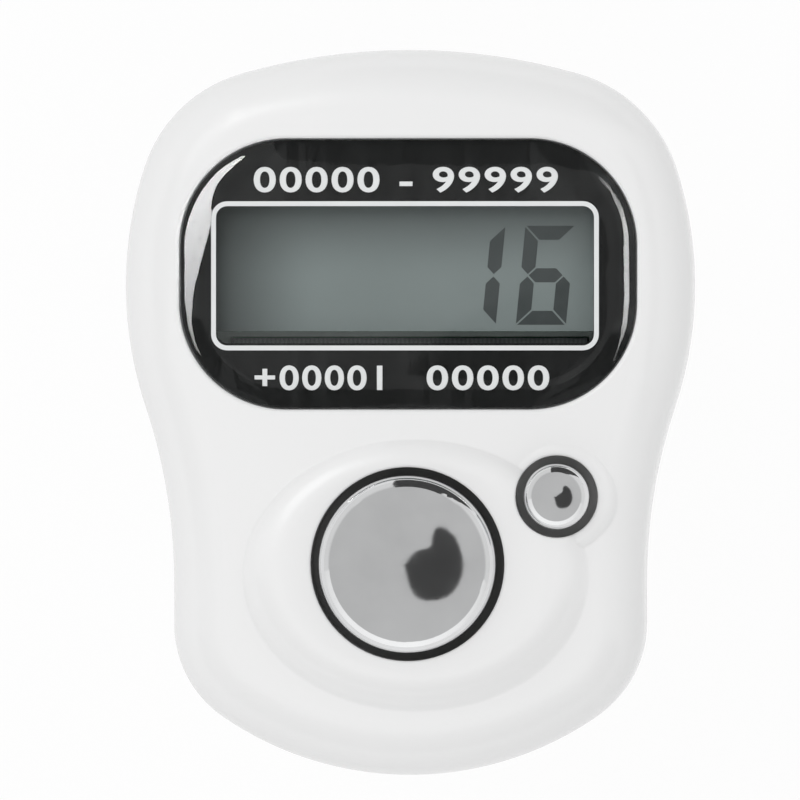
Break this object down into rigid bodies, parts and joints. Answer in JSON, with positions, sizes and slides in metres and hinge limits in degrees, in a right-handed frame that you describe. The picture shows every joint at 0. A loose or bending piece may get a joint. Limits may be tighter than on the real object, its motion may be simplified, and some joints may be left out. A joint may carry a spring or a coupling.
{
  "type": "digital tasbih counter",
  "caption": "Finger-worn tally counter: rounded white body, dark display lens over a digit display, domed chrome count and reset push buttons, button cell inside, soft pegged finger strap.",
  "frame": {"origin": "middle of the bounding box at the underside of the strap, which rests on the table", "axes": "+Z out of the display towards the viewer, +Y towards the top of the display, +X to the viewer's right"},
  "size_m": [0.0328, 0.042, 0.0343],
  "materials": {
    "white_plastic": "glossy moulded",
    "clear_lens": "clear polished",
    "black_print": "printed film",
    "grey_film": "matt film",
    "thin_glass": "polished",
    "carrier_plastic": "moulded",
    "dark_rubber": "matt",
    "pale_rubber": "matt",
    "board": "solder resist",
    "black_resin": "cast",
    "bright_steel": "plated",
    "white_strap": "soft satin",
    "chrome_plate": "polished plate"
  },
  "bodies": {
    "housing": {"front_shell": "white_plastic", "rear_cover": "white_plastic", "display_lens": "clear_lens", "lens_mask": "black_print", "lens_tape": "black_print", "lcd_polariser": "grey_film", "lcd_front_glass": "thin_glass", "lcd_rear_glass": "thin_glass", "lcd_reflector": "grey_film", "display_carrier": "carrier_plastic", "zebra_strip": "dark_rubber", "circuit_board": "board", "chip_blob": "black_resin", "chip_parts": "black_resin", "button_cell": "bright_steel", "battery_clip": "bright_steel", "negative_contact": "bright_steel", "count_dome": "pale_rubber", "reset_dome": "pale_rubber", "board_screws": "bright_steel", "case_screws": "bright_steel", "strap_holed": "white_strap", "strap_root": "white_strap"},
    "count_key": {"count_button": "chrome_plate", "count_pill": "dark_rubber"},
    "reset_key": {"reset_button": "chrome_plate", "reset_pill": "dark_rubber"},
    "strap_end": {"strap_tab": "white_strap"}
  },
  "joints": [
    {"name": "count_press", "type": "slide", "parent": "housing", "child": "count_key", "axis": [0, 0, -1], "range_m": [0, 0.001], "stiffness_N_per_m": 1500, "springref_m": -0.0005, "deforming": ["count_dome"]},
    {"name": "reset_press", "type": "slide", "parent": "housing", "child": "reset_key", "axis": [0, 0, -1], "range_m": [0, 0.0008], "stiffness_N_per_m": 1500, "springref_m": -0.0005, "deforming": ["reset_dome"]},
    {"name": "strap_peel", "type": "hinge", "parent": "housing", "child": "strap_end", "pos_m": [0.005, 0, 0.0006], "axis": [0, -1, 0], "range_deg": [0, 75], "stiffness_Nm_per_rad": 0.01}
  ]
}
